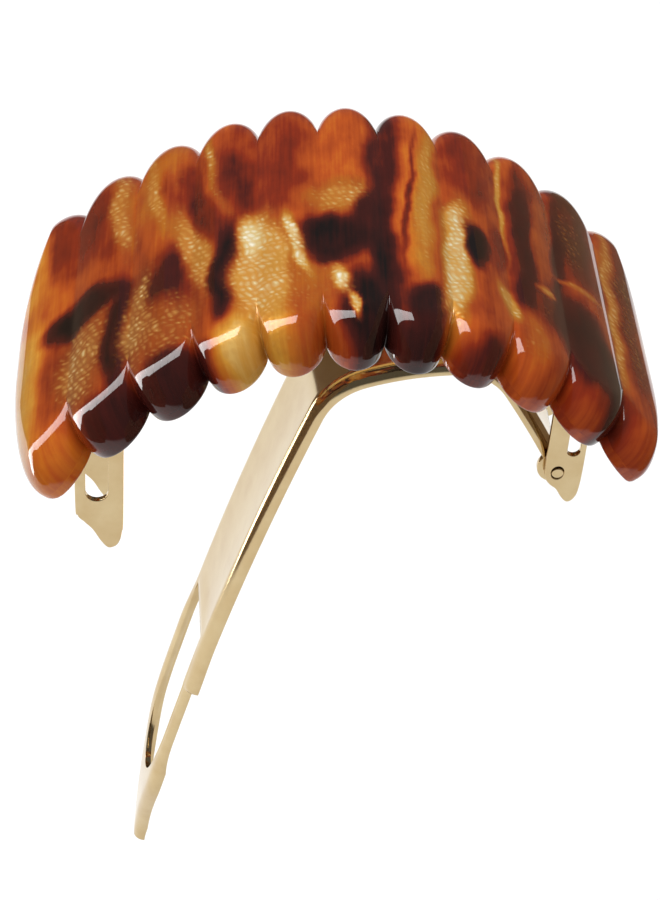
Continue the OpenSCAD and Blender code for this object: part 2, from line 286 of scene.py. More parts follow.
def matteBoard():
    # rolled emulsion paint on board: plain, nearly white, no gloss
    mat, tree = newMaterial("mattePaintedBoard")
    place = addNode(tree, "ShaderNodeTexCoord")
    speck = addNode(tree, "ShaderNodeTexNoise", {"Vector": place.outputs["Object"]},
                    {"Scale": 1 / (25 * mm), "Detail": 4.0})
    colour = addNode(tree, "ShaderNodeMix", {0: speck.outputs["Fac"]},
                     {6: hexColour("#FAFAFA"), 7: hexColour("#F6F6F6")}, data_type="RGBA")
    shader = addNode(tree, "ShaderNodeBsdfPrincipled", {"Base Color": colour.outputs[2]}, {"Roughness": 0.9})
    addNode(tree, "ShaderNodeOutputMaterial", {"Surface": shader.outputs[0]})
    return mat


acetateMat = celluloseAcetate()
plateMat, springMat, rivetMat = (goldPlate(name) for name in goldFinishes)
boardMat = matteBoard()
print("materials ready")


body = {
    "ribs": 11, "pitch": 6.6, "width": 47.8, "catchBulge": 4.4, "hingeBulge": 3.0,
    "scallop": 4.4, "crest": 4.2, "valley": 0.6, "shoulder": 5.5, "edge": 1.5, "lean": 2.0,
    "underside": 0.93,      # height of the underside over the base bar
    "sweep": 76, "capSweep": 88,        # degrees of arc to each side of a rib's crest, and of a rounded end
    "ribSteps": 28, "capSteps": 22, "ringSteps": 280, "curveShare": 0.55,
    "sheetStretch": 1.15, "layerGap": 7,        # of the pattern, across the ribs and from face to face
}

# Blots of the sheet, in the order that they were laid: rib is the place across (1 to 11), and along runs
# from -1 at the front edge to 1 at the back. wide is in ribs, reach in halves of the width, and slant in
# ribs per unit along. tone goes from honey (0) to black (1), and soft and pearl from none to full.
blots = [
    # front left: honey end with a red streak
    dict(rib=0.6, along=-0.1, wide=0.75, reach=1.1, tone=0.24, soft=0.6),
    dict(rib=0.62, along=-0.45, wide=0.38, reach=0.5, tone=0.14, soft=0.8, pearl=0.36),
    dict(rib=1.6, along=0.62, wide=0.75, reach=0.42, tone=0.64, soft=0.5),
    dict(rib=0.75, along=0.7, wide=0.25, reach=0.4, slant=-0.5, tone=0.3, soft=0.7),
    dict(rib=1.2, along=0.15, wide=0.7, reach=0.14, tone=0.42, soft=0.8),
    dict(rib=1.25, along=-0.45, wide=0.22, reach=0.45, slant=0.1, tone=0.55, soft=0.7),
    dict(rib=1.3, along=-0.9, wide=0.5, reach=0.2, tone=0.4, soft=0.7),
    dict(rib=1.75, along=-0.45, wide=0.46, reach=0.38, tone=0.55, soft=0.6, pearl=0.6),
    dict(rib=1.7, along=-0.08, wide=0.62, reach=0.13, slant=0.3, tone=0.97, soft=0.35),
    dict(rib=2.35, along=-0.45, wide=0.22, reach=0.42, slant=-0.1, tone=0.95, soft=0.45),
    dict(rib=2.3, along=0.55, wide=0.2, reach=0.42, slant=-0.2, tone=0.4, soft=0.5, pearl=0.6),
    dict(rib=2.7, along=-0.4, wide=0.36, reach=0.4, tone=0.55, soft=0.6, pearl=0.6),
    dict(rib=2.3, along=-0.93, wide=0.7, reach=0.16, tone=0.86, soft=0.5),
    # third and fourth ribs
    dict(rib=3.0, along=0.6, wide=0.5, reach=0.5, tone=0.38, soft=0.6, pearl=0.24),
    dict(rib=2.9, along=0.5, wide=0.14, reach=0.4, slant=-0.5, tone=0.3, soft=0.6, pearl=0.55),
    dict(rib=3.25, along=0.35, wide=0.16, reach=0.3, slant=-0.6, tone=0.62, soft=0.7),
    dict(rib=3.2, along=-0.2, wide=0.36, reach=0.26, tone=0.82, soft=0.6),
    dict(rib=3.2, along=-0.6, wide=0.48, reach=0.27, tone=0.52, soft=0.6, pearl=0.46),
    dict(rib=3.55, along=-0.1, wide=0.24, reach=0.4, slant=-0.7, tone=0.35, soft=0.4, pearl=0.62),
    dict(rib=3.65, along=0.22, wide=0.18, reach=0.42, slant=-0.75, tone=0.7, soft=0.5),
    dict(rib=3.85, along=0.45, wide=0.12, reach=0.4, slant=-0.6, tone=0.3, soft=0.5, pearl=0.7),
    dict(rib=4.02, along=-0.36, wide=0.25, reach=0.36, tone=0.97, soft=0.4),
    dict(rib=3.3, along=-0.93, wide=0.6, reach=0.15, tone=0.88, soft=0.5),
    # the red middle
    dict(rib=4.6, along=0.5, wide=0.75, reach=0.55, tone=0.58, soft=0.3),
    dict(rib=4.25, along=0.3, wide=0.3, reach=0.3, slant=-0.5, tone=0.72, soft=0.6),
    dict(rib=5.0, along=0.35, wide=0.28, reach=0.35, tone=0.66, soft=0.7),
    dict(rib=5.85, along=0.5, wide=0.62, reach=0.55, tone=0.47, soft=0.35),
    dict(rib=5.85, along=0.12, wide=0.62, reach=0.16, tone=0.33, soft=0.6, pearl=0.55),
    # cream pearl under it
    dict(rib=4.62, along=-0.42, wide=0.55, reach=0.48, slant=-0.1, tone=0.24, soft=0.25, pearl=0.68),
    dict(rib=4.4, along=-0.12, wide=0.25, reach=0.16, tone=0.1, soft=0.8, pearl=1.0),
    dict(rib=4.25, along=-0.88, wide=0.42, reach=0.17, tone=0.08, soft=0.6, pearl=0.42),
    dict(rib=4.9, along=-0.88, wide=0.3, reach=0.17, tone=0.14, soft=0.6, pearl=0.4),
    dict(rib=5.35, along=-0.6, wide=0.42, reach=0.33, tone=0.42, soft=0.4, pearl=0.3),
    dict(rib=5.3, along=-0.92, wide=0.45, reach=0.15, tone=0.45, soft=0.6, pearl=0.2),
    dict(rib=5.15, along=-0.25, wide=0.12, reach=0.26, slant=-0.5, tone=0.1, soft=0.4, pearl=0.95),
    dict(rib=5.7, along=-0.22, wide=0.55, reach=0.2, tone=0.97, soft=0.25),
    dict(rib=6.3, along=-0.1, wide=0.35, reach=0.26, slant=0.35, tone=0.9, soft=0.4),
    dict(rib=5.85, along=-0.6, wide=0.16, reach=0.18, slant=-0.9, tone=0.1, soft=0.5, pearl=0.95),
    dict(rib=6.2, along=-0.78, wide=0.4, reach=0.3, tone=0.97, soft=0.35),
    dict(rib=5.98, along=-0.78, wide=0.08, reach=0.1, slant=-0.8, tone=0.1, soft=0.6, pearl=0.8),
    # dark band and gold stripes
    dict(rib=6.5, along=0.5, wide=0.26, reach=0.75, slant=0.15, tone=0.78, soft=0.5),
    dict(rib=6.55, along=-0.4, wide=0.25, reach=0.4, tone=0.93, soft=0.5),
    dict(rib=7.05, along=0.3, wide=0.33, reach=0.9, slant=0.2, tone=0.38, soft=0.5),
    dict(rib=7.2, along=0.2, wide=0.18, reach=0.8, slant=0.25, tone=0.22, soft=0.6, pearl=0.5),
    dict(rib=6.9, along=0.1, wide=0.06, reach=0.6, slant=0.2, tone=0.7, soft=0.6),
    dict(rib=7.1, along=-0.78, wide=0.38, reach=0.2, tone=0.93, soft=0.4),
    dict(rib=7.0, along=-0.93, wide=0.5, reach=0.12, tone=0.9, soft=0.6),
    # eighth rib: red back, cream diagonal, black blot
    dict(rib=7.95, along=0.55, wide=0.45, reach=0.5, tone=0.62, soft=0.4),
    dict(rib=8.1, along=-0.62, wide=0.5, reach=0.3, tone=0.52, soft=0.5),
    dict(rib=7.62, along=-0.3, wide=0.3, reach=0.55, slant=0.3, tone=0.2, soft=0.3, pearl=0.78),
    dict(rib=7.98, along=-0.14, wide=0.2, reach=0.17, slant=-0.6, tone=0.98, soft=0.3),
    dict(rib=8.4, along=-0.1, wide=0.26, reach=0.2, tone=0.66, soft=0.5),
    dict(rib=8.45, along=-0.5, wide=0.16, reach=0.16, slant=-0.5, tone=0.2, soft=0.5, pearl=0.65),
    dict(rib=8.1, along=-0.93, wide=0.45, reach=0.13, tone=0.75, soft=0.6),
    # ninth to eleventh ribs
    dict(rib=8.55, along=0.45, wide=0.06, reach=0.6, slant=0.1, tone=0.2, soft=0.6, pearl=0.6),
    dict(rib=8.85, along=0.0, wide=0.22, reach=0.8, slant=0.15, tone=0.86, soft=0.5),
    dict(rib=8.8, along=-0.7, wide=0.25, reach=0.22, tone=0.42, soft=0.5, pearl=0.3),
    dict(rib=9.25, along=0.25, wide=0.2, reach=0.5, slant=0.35, tone=0.5, soft=0.5, pearl=0.15),
    dict(rib=9.3, along=-0.35, wide=0.4, reach=0.2, tone=0.72, soft=0.5, pearl=0.25),
    dict(rib=9.2, along=-0.25, wide=0.3, reach=0.035, tone=0.2, soft=0.8, pearl=0.6),
    dict(rib=9.6, along=0.3, wide=0.14, reach=0.6, slant=0.3, tone=0.85, soft=0.5),
    dict(rib=9.95, along=0.5, wide=0.4, reach=0.5, tone=0.76, soft=0.5, pearl=0.3),
    dict(rib=9.8, along=-0.5, wide=0.5, reach=0.35, slant=-0.3, tone=0.88, soft=0.4),
    dict(rib=9.9, along=-0.02, wide=0.5, reach=0.03, slant=0.8, tone=0.3, soft=0.8, pearl=0.5),
    dict(rib=10.3, along=-0.75, wide=0.35, reach=0.35, slant=-0.3, tone=0.95, soft=0.35),
    dict(rib=10.6, along=0.1, wide=0.14, reach=0.9, slant=0.1, tone=0.3, soft=0.5, pearl=0.6),
    dict(rib=10.95, along=0.1, wide=0.3, reach=0.8, tone=0.7, soft=0.6, pearl=0.34),
    dict(rib=11.3, along=0.1, wide=0.25, reach=0.9, tone=0.34, soft=0.6, pearl=0.2),
    dict(rib=11.0, along=-0.8, wide=0.5, reach=0.25, tone=0.55, soft=0.6),
]


def ribStations():
    # x, share of the width, share of the groove, share of the height, and rib number of every ring
    rows = []
    outer = (body["ribs"] - 1) / 2
    sweep, capSweep = math.radians(body["sweep"]), math.radians(body["capSweep"])

    def cap(side, a):
        bulge = body["catchBulge"] if side < 0 else body["hingeBulge"]
        out = bulge * math.sin(a)
        return (side * (outer * body["pitch"] + out), math.cos(a) ** 0.8, 0.0, math.cos(a) ** 0.6,
                (body["ribs"] + 1) / 2 + side * (outer + out / body["pitch"]))

    capSteps = body["capSteps"]
    capAngles = [capSweep * math.sin(math.pi / 2 * j / capSteps) for j in range(1, capSteps + 1)]
    rows += [cap(-1, a) for a in reversed(capAngles)]
    steps = body["ribSteps"]
    for i in range(steps * (body["ribs"] - 1) + 1):
        k = math.floor((i + steps / 2) / steps)
        a = sweep * (i - k * steps) / (steps / 2)
        across = 0.5 * math.sin(a) / math.sin(sweep)
        groove = (1 - math.cos(a)) / (1 - math.cos(sweep))
        rows.append(((k - outer + across) * body["pitch"], 1.0, groove, 1.0, k + 1 + across))
    rows += [cap(1, a) for a in capAngles]
    return np.array(rows)


def ringPlaces():
    # for each point of a ring: turn round the shoulder, share across the level middle, side of the middle
    # line, and whether it is on the upper face
    quarter = body["ringSteps"] // 4
    curve = int(quarter * body["curveShare"])
    turn = np.concatenate([np.linspace(0, math.pi / 2, curve, endpoint=False),
                           np.full(quarter - curve, math.pi / 2)])
    level = np.concatenate([np.zeros(curve), np.linspace(0, 1, quarter - curve, endpoint=False)])
    # front right quarter first, then mirrored over the middle line, then the underside
    turnHalf = np.concatenate([turn, [math.pi / 2], turn[:0:-1]])
    levelHalf = np.concatenate([level, [1.0], level[:0:-1]])
    side = np.concatenate([np.ones(quarter), [0.0], -np.ones(quarter - 1)])
    turnAll = np.concatenate([turnHalf, [0.0], turnHalf[:0:-1]])
    levelAll = np.concatenate([levelHalf, [0.0], levelHalf[:0:-1]])
    sideAll = np.concatenate([side, [-1.0], side[:0:-1]])
    upper = np.concatenate([np.ones(2 * quarter), np.zeros(2 * quarter)])
    return turnAll, levelAll, sideAll, upper


def bodyShape():
    rows = ribStations()
    turn, level, side, upper = ringPlaces()
    x, wide, groove, high, rib = (rows[:, i:i + 1] for i in range(5))
    half = (body["width"] / 2 - body["scallop"] * groove) * wide
    cap = np.sqrt(1 - wide ** 2)
    roundWide = np.minimum(body["shoulder"] + (half - body["shoulder"]) * cap, half)
    y = side * (half - roundWide * (1 - np.cos(turn))) * (1 - level)
    sn = np.sin(turn)
    top = (body["crest"] - body["valley"] * (1 - (1 - groove) ** 2)) * sn
    under = np.minimum(body["underside"], (body["underside"] + 0.6) * sn ** 2
                       - body["edge"] * np.minimum(1, sn / 0.35) ** 0.6 * (1 - sn * sn))
    off = high * np.where(upper > 0, top, under)
    px, pz = archPoint(x + body["lean"] * y / body["width"], off)
    along = y / (body["width"] / 2)
    return px, y, pz, np.broadcast_to(rib, y.shape), along, np.broadcast_to(upper, y.shape)


def wander(points, size, seed):
    # smooth noise in -1..1 at points (mm)
    return np.array([noise.noise(Vector((p[0] / size, p[1] / size, seed))) for p in points])


def paintSheet(rib, along):
    # tone and pearl of the sheet at each place
    place = np.stack([rib * body["pitch"], along * body["width"] / 2], 1)
    ribMoved = rib + 0.12 * wander(place, 5.0, 3.7) + 0.02 * wander(place, 1.2, 9.1)
    alongMoved = along + 0.06 * wander(place, 6.0, 21.3) + 0.02 * wander(place, 1.5, 33.9)
    tone = np.full(rib.shape, 0.52) + 0.1 * wander(place, 6.0, 51.0)
    pearl = np.zeros(rib.shape)
    for blot in blots:
        side = ribMoved - blot["rib"] - blot.get("slant", 0) * (alongMoved - blot["along"])
        far = np.sqrt((side / blot["wide"]) ** 2 + ((alongMoved - blot["along"]) / blot["reach"]) ** 2)
        soft = 0.25 + 0.75 * blot["soft"]
        weight = 1 - smoothStep(1 - soft * 0.95, 1 + soft * 0.6, far)
        tone += (blot["tone"] - tone) * weight
        pearl += (blot.get("pearl", 0) - pearl) * weight
    return tone, pearl


def makeBody():
    px, y, pz, rib, along, upper = bodyShape()
    rings, count = y.shape
    points = np.stack([px, y, pz], -1).reshape(-1, 3) * mm
    faces = [tuple(reversed(f)) for f in gridFaces(rings, count, True)]
    faces.append(tuple(range(count)))
    faces.append(tuple((rings - 1) * count + i for i in reversed(range(count))))
    obj = newPiece("tortoiseshellBow", points, faces, acetateMat)
    mesh = obj.data
    tone, pearl = paintSheet(rib.ravel(), along.ravel())
    mesh.attributes.new("tone", "FLOAT", "POINT").data.foreach_set("value", tone.astype(np.float32))
    mesh.attributes.new("pearl", "FLOAT", "POINT").data.foreach_set("value", pearl.astype(np.float32))
    sheet = np.stack([rib.ravel() * body["pitch"] * body["sheetStretch"], y.ravel(),
                      upper.ravel() * body["layerGap"]], 1).astype(np.float32)
    mesh.attributes.new("sheet", "FLOAT_VECTOR", "POINT").data.foreach_set("vector", sheet.ravel())
    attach(obj, "root")
    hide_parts("acetate_body")


makeBody()
print("acetate body ready")


bar = {"length": 64.0, "wide": 11.0, "thick": 0.9, "edge": 0.2}
archStep = 0.8      # mm between the sections of a strip that follows the arch


def archStations(x0, x1):
    return np.linspace(x0, x1, max(3, int((x1 - x0) / archStep) + 1))


def makeBar():
    half = bar["length"] / 2
    obj = sweepOnArch("archedBaseBar", archStations(-half, half),
                      flatSection(bar["wide"], 0.0, bar["thick"]), plateMat)
    bevelEdges(obj, bar["edge"] * mm)
    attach(obj, "root")
    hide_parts("base_bar")


spring = {"wide": 6.0, "thick": 0.4, "bow": 3.2, "start": -21.0, "end": 31.4, "fold": 25.2, "free": 0.3,
          "edge": 0.1}


def springLift(x):
    # flat under the bracket, then one long bow down to a free end just clear of the bar
    if x >= spring["fold"]:
        return 0.0
    u = (spring["fold"] - x) / (spring["fold"] - spring["start"])
    return -(spring["bow"] * math.sin(math.pi * u) ** 2 + spring["free"] * u)


def makeSpring():
    obj = sweepOnArch("tensionLeafSpring", archStations(spring["start"], spring["end"]),
                      flatSection(spring["wide"], -spring["thick"], 0.0, 6), springMat, springLift)
    bevelEdges(obj, spring["edge"] * mm)
    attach(obj, "root")
    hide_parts("tension_spring")


rivets = {"place": 29.2, "shank": 0.9, "head": 1.6, "headHigh": 0.5, "gap": 0.06, "rim": 0.08, "seen": 0.9,
          "sheet": 0.8}


def makeRivet(x, stack):
    # profile of the shank's end and the domed head under the stack that it clamps, turned round its axis
    low = -stack - rivets["gap"]
    rim = rivets["rim"]
    profile = [(rivets["shank"], low + rivets["seen"]), (rivets["shank"], low), (rivets["head"] - rim, low),
               (rivets["head"], low - rim)]
    domeSteps = 8
    for i in range(1, domeSteps + 1):
        a = math.pi / 2 * i / domeSteps
        profile.append((rivets["head"] * math.cos(a), low - rim - (rivets["headHigh"] - rim) * math.sin(a)))
    turns = 40
    angle = float(archAngle(np.float64(x)))
    turn = Matrix.Rotation(angle, 3, "Y")
    cx, cz = archPoint(np.float64(x), 0.0)
    points = []
    for r, h in profile:
        for i in range(turns):
            a = 2 * math.pi * i / turns
            p = turn @ Vector((r * math.cos(a), r * math.sin(a), h)) + Vector((cx, 0, cz))
            points.append(p * mm)
    faces = gridFaces(len(profile), turns, True)
    faces.append(tuple(reversed(range(turns))))
    return points, faces


def makeRivets():
    points, faces = [], []
    sheet = rivets["sheet"]
    for x, stack in ((-rivets["place"], sheet), (rivets["place"], sheet + spring["thick"])):
        p, f = makeRivet(x, stack)
        faces += [tuple(i + len(points) for i in face) for face in f]
        points += p
    obj = newPiece("rivetHeads", points, faces, rivetMat)
    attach(obj, "root")
    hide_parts("mounting_rivets")


makeBar()
makeSpring()
makeRivets()
print("bar, spring and rivets ready")


def smoothLoop(anchors, steps=8):
    # closed curve through the anchors; an anchor with a third value of 1 is a sharp corner
    out = []
    n = len(anchors)
    for i in range(n):
        p0, p1, p2, p3 = (anchors[(i + k - 1) % n] for k in range(4))
        t1 = (0, 0) if len(p1) > 2 else ((p2[0] - p0[0]) / 2, (p2[1] - p0[1]) / 2)
        t2 = (0, 0) if len(p2) > 2 else ((p3[0] - p1[0]) / 2, (p3[1] - p1[1]) / 2)
        for s in range(steps):
            u = s / steps
            a, b = 2 * u ** 3 - 3 * u ** 2 + 1, u ** 3 - 2 * u ** 2 + u
            c, d = -2 * u ** 3 + 3 * u ** 2, u ** 3 - u ** 2
            out.append(tuple(a * p1[k] + b * t1[k] + c * p2[k] + d * t2[k] for k in (0, 1)))
    return out


def ringLoop(cx, cz, rx, rz, steps=28):
    return [(cx + rx * math.cos(2 * math.pi * i / steps), cz + rz * math.sin(2 * math.pi * i / steps))
            for i in range(steps)]


def cutTab(name, y, thick, loops, mat, bevel=0.12):
    # loops of (x, z) in mm: the first is the outline and the others are holes
    curve = bpy.data.curves.new(name, "CURVE")
    curve.dimensions = "2D"
    curve.fill_mode = "BOTH"
    curve.extrude = (thick / 2 - bevel) * mm
    curve.bevel_depth = bevel * mm
    curve.bevel_resolution = 2
    curve.offset = -bevel * mm
    for loop in loops:
        spline = curve.splines.new("POLY")
        spline.points.add(len(loop) - 1)
        for point, (x, z) in zip(spline.points, loop):
            point.co = (x * mm, z * mm, 0, 1)
        spline.use_cyclic_u = True
    holder = bpy.data.objects.new(name + "Curve", curve)
    bpy.context.collection.objects.link(holder)
    graph = bpy.context.evaluated_depsgraph_get()
    mesh = bpy.data.meshes.new_from_object(holder.evaluated_get(graph))
    bpy.data.objects.remove(holder)
    mesh.transform(Matrix.Translation((0, y * mm, 0)) @ Matrix.Rotation(math.radians(90), 4, "X"))
    mesh.materials.clear()
    mesh.materials.append(mat)
    mesh.shade_smooth()
    mesh.set_sharp_from_angle(angle=sharpAngle)
    obj = bpy.data.objects.new(name, mesh)
    bpy.context.collection.objects.link(obj)
    return obj


# x, y and drop place each tab, and window values are its width, lowest point and height
wing = {"left": -32.2, "wide": 6.0, "drop": 45.4, "y": 4.55, "thick": 0.8, "tip": 2.6, "shoulder": 5.0,
        "fold": 2.52, "foldGap": 0.12,
        "window": 2.8, "windowAt": 0.45, "windowLow": -37.4, "windowHigh": 10.0}
ear = {"left": 25.4, "wide": 4.7, "drop": 34.4, "y": 8.25, "thick": 0.8, "tip": 2.2, "shoulder": 3.4,
       "hole": 0.8, "holeStretch": 1.25, "seat": 0.1, "plateIn": 0.6,
       "window": 1.6, "windowAt": 0.68, "windowLow": -26.8, "windowHigh": 7.0}
hingePoint = (27.0, -29.6)
sharpAngle = math.radians(40)


def archTop(x, off):
    # height of the arch curve under x
    return archPoint(np.float64(x), off)[1]


def tabOutline(tab, topOff):
    # straight sides, a rounded shoulder on the left, a hollow curve down to a rounded tip on the right
    left, w, low = tab["left"], tab["wide"], -tab["drop"]
    right = left + w
    tip, shoulder = tab["tip"], tab["shoulder"]
    return [(left, archTop(left, topOff), 1), (left, low + shoulder + 3.0),
            (left + 0.05 * w, low + shoulder + 0.5), (left + 0.18 * w, low + shoulder - 0.55),
            (left + 0.36 * w, low + shoulder * 0.62), (left + 0.52 * w, low + shoulder * 0.25),
            (left + 0.66 * w, low + 0.08), (left + 0.78 * w, low + 0.05), (left + 0.9 * w, low + 0.75),
            (left + 0.97 * w, low + tip), (right, low + tip + 4.0), (right, archTop(right, topOff), 1)]


def dWindow(tab):
    # square at the top and round at the bottom
    cx, low, high = tab["left"] + tab["wide"] * tab["windowAt"], tab["windowLow"], tab["windowHigh"]
    r = tab["window"] / 2
    loop = [(cx - r, low + high), (cx - r, low + r)]
    for i in range(1, 12):
        a = math.pi * i / 12
        loop.append((cx - r * math.cos(a), low + r - r * math.sin(a)))
    return loop + [(cx + r, low + r), (cx + r, low + high)]


def makeWing(name, side, node, bodyName):
    outline = smoothLoop(tabOutline(wing, -wing["fold"]))
    obj = cutTab(name, side * wing["y"], wing["thick"], [outline, dWindow(wing)], plateMat)
    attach(obj, bodyName)
    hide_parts(node)


makeWing("catchWingFront", -1, "catch_wing_front", "wing_front")
makeWing("catchWingBack", 1, "catch_wing_back", "wing_back")
print("catch wings ready")


def joinPieces(name, parts):
    # one object out of several, without operators
    points, faces = [], []
    mat = parts[0].data.materials[0]
    for part in parts:
        graph = bpy.context.evaluated_depsgraph_get()
        mesh = part.evaluated_get(graph).to_mesh()
        start = len(points)
        points += [v.co.copy() for v in mesh.vertices]
        faces += [tuple(start + i for i in p.vertices) for p in mesh.polygons]
        part.evaluated_get(graph).to_mesh_clear()
    for part in parts:
        bpy.data.objects.remove(part)
    obj = newPiece(name, points, faces, mat)
    obj.data.set_sharp_from_angle(angle=sharpAngle)
    return obj


def makeHingeBracket():
    outline = smoothLoop(tabOutline(ear, -spring["thick"] - ear["seat"]))
    hole = ringLoop(*hingePoint, ear["hole"], ear["hole"] * ear["holeStretch"])
    loops = [outline, hole, dWindow(ear)]
    parts = [cutTab(f"ear{side}", side * ear["y"], ear["thick"], loops, plateMat) for side in (-1, 1)]
    wide = 2 * ear["y"] - ear["thick"] / 2
    low = -spring["thick"] - ear["thick"]
    plate = sweepOnArch("hingePlate", archStations(ear["left"] + ear["plateIn"], spring["end"]),
                        flatSection(wide, low, -spring["thick"]), plateMat)
    bevelEdges(plate, 0.1 * mm)
    obj = joinPieces("hingeBracketWithEars", parts + [plate])
    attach(obj, "root")
    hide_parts("hinge_bracket")


def makeCatchBracket():
    # the saddle under the bar with the two stubs that the wings bend from
    left, right = wing["left"], wing["left"] + wing["wide"]
    stub = wing["fold"] - wing["foldGap"]
    plate = sweepOnArch("catchPlate", archStations(left, right),
                        flatSection(2 * wing["y"] + wing["thick"], -wing["thick"], 0.0), plateMat)
    bevelEdges(plate, 0.12 * mm)
    parts = [plate]
    for side in (-1, 1):
        section = [(side * wing["y"] + a * wing["thick"] / 2, off)
                   for a, off in ((-1, -stub), (1, -stub), (1, -wing["thick"] / 2), (-1, -wing["thick"] / 2))]
        leg = sweepOnArch("catchStub", archStations(left, right), section, plateMat)
        bevelEdges(leg, 0.08 * mm)
        parts.append(leg)
    obj = joinPieces("catchSaddle", parts)
    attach(obj, "root")
    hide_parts("catch_bracket")


makeHingeBracket()
makeCatchBracket()
print("hinge and catch ready")


arm = {
    "start": (27.3, -28.2, 118.0),      # x, z and heading in degrees
    # length and turn of each stretch: up from the hinge, over the hump, down the long leg, out to the tip
    "arcs": [(12.8, 4.5), (9, 59.5), (11.4, 17), (9, 52), (50, 5.5), (14, 0.5), (24, 10.5)],
    "wide": 15.2, "thick": 0.8, "rootFlange": 1.8, "tipFlange": 1.3,
    "slotStart": 84.0, "slotLength": 31.0, "rail": 2.4, "tipWide": 3.6,
    "point": 12.0,          # length of the slot's pointed outer end
    "bend": 1.35,           # radius of the fold between web and flange
    "dish": 0.3,            # hollow of the web between its folds
    # the front rail is narrower and lower from a step past the slot's start
    "step": 1.0, "stepFrom": 8.4, "stepTo": 9.3, "stepFlange": 0.25,
    "railLift": {-1: -0.15, 1: 0.35},       # the front rail dips and the back one stands proud
    "heel": 2.4, "lug": 0.75, "lugLong": 1.2, "lugOut": 0.55,
}
arm["length"] = sum(length for length, turn in arm["arcs"])


def armAt(s):
    x, z, heading = arm["start"]
    for i, (length, turn) in enumerate(arm["arcs"]):
        part = min(s, length) if i < len(arm["arcs"]) - 1 else s
        bend = math.radians(turn * part / length)
        chord = part if abs(bend) < 1e-6 else part * math.sin(bend / 2) / (bend / 2)
        way = math.radians(heading) + bend / 2
        x, z, heading = x + chord * math.cos(way), z + chord * math.sin(way), heading + math.degrees(bend)
        s -= part
        if s <= 1e-9:
            break
    return x, z, math.radians(heading)


def armPoint(s, y, off):
    # off is out of the arm's outer face
    x, z, h = armAt(s)
    return ((x + off * math.sin(h)) * mm, y * mm, (z - off * math.cos(h)) * mm)


slotEnds = (arm["slotStart"], arm["slotStart"] + arm["slotLength"])


def pastStep(s, side):
    return smoothStep(slotEnds[0] + arm["stepFrom"], slotEnds[0] + arm["stepTo"], s) if side < 0 else 0.0


def armHalfWidth(s, side):
    # full width down to the tip's taper, where the front rail's step dies away too
    full = arm["wide"] / 2
    step = arm["step"] * pastStep(s, side) * (1 - smoothStep(slotEnds[1] - 8, slotEnds[1] + 1, s))
    tip = (full - arm["tipWide"] / 2) * smoothStep(slotEnds[1] - 8, arm["length"] + 1, s) ** 0.9
    return max(full - step - tip, 0.4)


def slotHalfWidth(s):
    # full width to where the pointed outer end begins
    full = arm["wide"] / 2 - arm["rail"]
    u = min(1, max(0, (s - slotEnds[1] + arm["point"]) / arm["point"]))
    return full * math.sqrt(max(0.0, 1 - u ** 2.2))


def flangeHeight(s, side):
    h = arm["rootFlange"] + (arm["tipFlange"] - arm["rootFlange"]) * min(1, s / slotEnds[0])
    tipLoss = 0.45 * smoothStep(slotEnds[1] - 4, arm["length"], s)
    return h * (1 - arm["stepFlange"] * pastStep(s, side) - tipLoss)


def railLift(s, side):
    # grows past the slot's start and dies away before its end
    rise = smoothStep(slotEnds[0] - 1, slotEnds[0] + 8, s)
    fall = smoothStep(slotEnds[1] - 14, slotEnds[1] + 2, s)
    return arm["railLift"][side] * rise * (1 - fall)


def armStations():
    s = list(np.arange(0, slotEnds[0], 1.0)) + [slotEnds[0]]
    s += list(np.arange(slotEnds[0] + 0.4, slotEnds[1] - 2, 0.4))
    s += [slotEnds[1] - 2 + 2 * math.sin(math.pi / 2 * i / 10) for i in range(11)]
    s += list(np.arange(slotEnds[1] + 0.5, arm["length"], 0.5)) + [arm["length"]]
    return sorted(set(round(v, 4) for v in s))


def armRail(s, side):
    # mid surface from the slot's edge out, round the fold and down the flange
    half = armHalfWidth(s, side) - arm["thick"] / 2
    inner = slotHalfWidth(s)
    r = min(arm["bend"], (half - inner) * 0.75)
    webEnd = half - r
    base = -arm["thick"] / 2
    lift = railLift(s, side)
    h = max(flangeHeight(s, side) - arm["thick"] / 2, r + 0.05)
    out = []
    for i in range(4):
        y = inner + (webEnd - inner) * i / 3
        out.append((y, base - arm["dish"] * webDish(s, y) + lift * i / 3))
    for i in range(1, 8):
        a = math.pi / 2 * i / 7
        out.append((webEnd + r * math.sin(a), base - r + r * math.cos(a) + lift))
    out += [(half, base - r + lift - (h - r) * i / 2) for i in (1, 2)]
    return out


def webDish(s, y):
    # hollow of the web, which fades out in the loop
    depth = 1 - smoothStep(slotEnds[0] - 4, slotEnds[0], s)
    return depth * max(0.0, 1 - (y / (arm["wide"] / 2 - arm["bend"])) ** 2)


def makeArm():
    stations = armStations()
    edge = arm["wide"] / 2 - arm["rail"]
    points, faces = [], []

    def addGrid(rows, flip):
        start = len(points)
        for row in rows:
            points.extend(row)
        for f in gridFaces(len(rows), len(rows[0]), False):
            faces.append(tuple(start + i for i in (reversed(f) if flip else f)))

    for side in (-1, 1):
        addGrid([[armPoint(s, side * y, off) for y, off in armRail(s, side)] for s in stations], side > 0)
    web = [s for s in stations if s <= slotEnds[0]]
    across = [edge * (i / 6 - 1) for i in range(13)]
    mid = -arm["thick"] / 2
    addGrid([[armPoint(s, y, mid - arm["dish"] * webDish(s, y)) for y in across] for s in web], True)
    obj = newPiece("claspArmChannel", points, faces, plateMat)
    weld = obj.modifiers.new("weld", "WELD")
    weld.merge_threshold = 0.02 * mm
    solid = obj.modifiers.new("sheet", "SOLIDIFY")
    solid.thickness = arm["thick"] * mm
    solid.offset = 0
    bevelEdges(obj, 0.13 * mm, 2, 50)
    return obj


